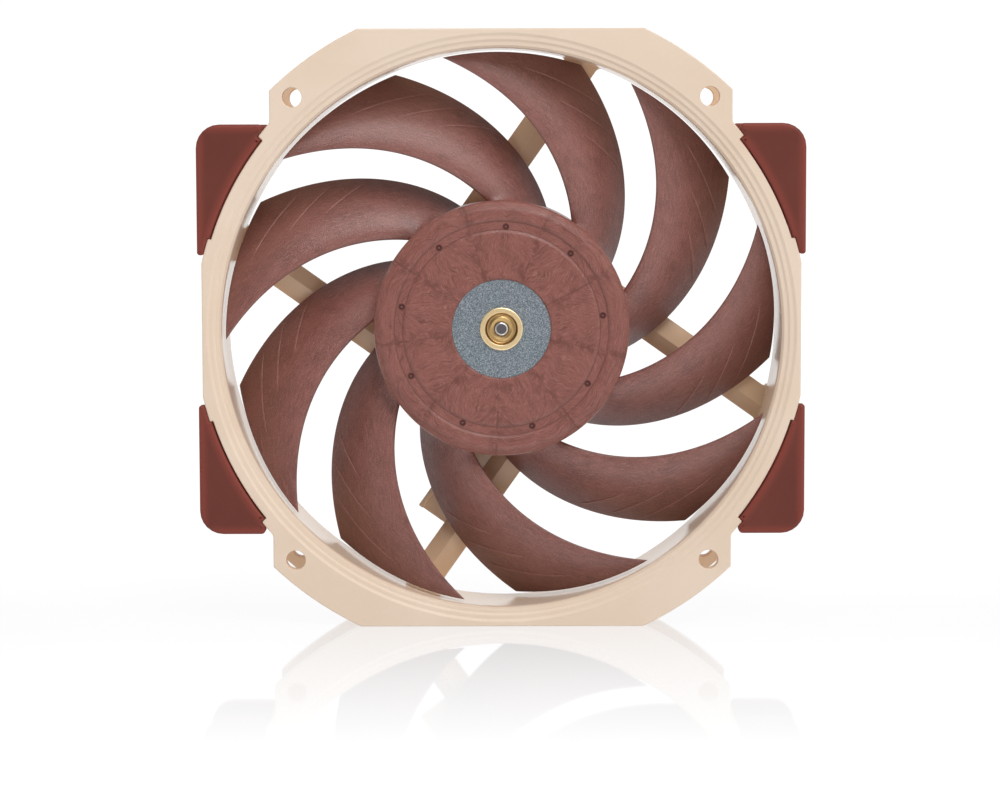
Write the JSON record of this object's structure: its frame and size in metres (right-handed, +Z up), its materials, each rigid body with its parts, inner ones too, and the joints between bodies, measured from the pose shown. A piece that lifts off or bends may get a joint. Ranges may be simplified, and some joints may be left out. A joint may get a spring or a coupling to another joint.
{
  "type": "case fan",
  "caption": "Round-ducted axial case fan with swept blades on a brushless hub motor, ridged struts, four-ear flanges and rubber corner pads.",
  "frame": {"origin": "on the spin axis, at half the frame's depth", "axes": "+Y along the spin axis towards the air outlet, +X to the right seen from the inlet, +Z up"},
  "size_m": [0.142, 0.0256, 0.14],
  "materials": {
    "frame_plastic": "fine matt moulded beige",
    "pad_rubber": "soft matt dark red-brown silicone",
    "impeller_plastic": "fibre-filled brown with flow marks",
    "zinc_steel": "grainy zinc-coated steel",
    "brass": "turned brass",
    "sintered_bronze": "oil-filled sintered bronze",
    "shaft_steel": "ground steel",
    "magnet": "bonded ferrite",
    "white_nylon": "natural nylon",
    "core_steel": "stacked steel sheets",
    "insulator_plastic": "black moulded plastic",
    "copper_wire": "enamelled copper wire",
    "tinned_pin": "tinned",
    "board": "green solder mask",
    "black_chip": "black moulded package",
    "ceramic": "ceramic capacitor",
    "foil": "plain brushed foil disc"
  },
  "bodies": {
    "frame": {"frame": "frame_plastic", "pad_front_upper_left": "pad_rubber", "pad_front_upper_right": "pad_rubber", "pad_front_lower_left": "pad_rubber", "pad_front_lower_right": "pad_rubber", "pad_rear_upper_left": "pad_rubber", "pad_rear_upper_right": "pad_rubber", "pad_rear_lower_left": "pad_rubber", "pad_rear_lower_right": "pad_rubber", "bearing_housing": "brass", "bearing_sleeve": "sintered_bronze", "seal_washer": "white_nylon", "shaft_clip": "white_nylon", "thrust_pad": "white_nylon", "bearing_cap": "brass", "stator_core": "core_steel", "insulator_front": "insulator_plastic", "insulator_rear": "insulator_plastic", "coil_windings": "copper_wire", "terminal_pins": "tinned_pin", "circuit_board": "board", "driver_chip": "black_chip", "hall_sensor": "black_chip", "capacitor": "ceramic", "chip_resistors": "black_chip", "rear_badge": "foil"},
    "rotor": {"impeller": "impeller_plastic", "rotor_cup": "zinc_steel", "ring_magnet": "magnet", "hub_bush": "brass", "shaft": "shaft_steel"}
  },
  "joints": [
    {"name": "rotor_spin", "type": "hinge", "parent": "frame", "child": "rotor", "pos_m": [0, 0, 0], "axis": [0, -1, 0], "continuous": true}
  ]
}
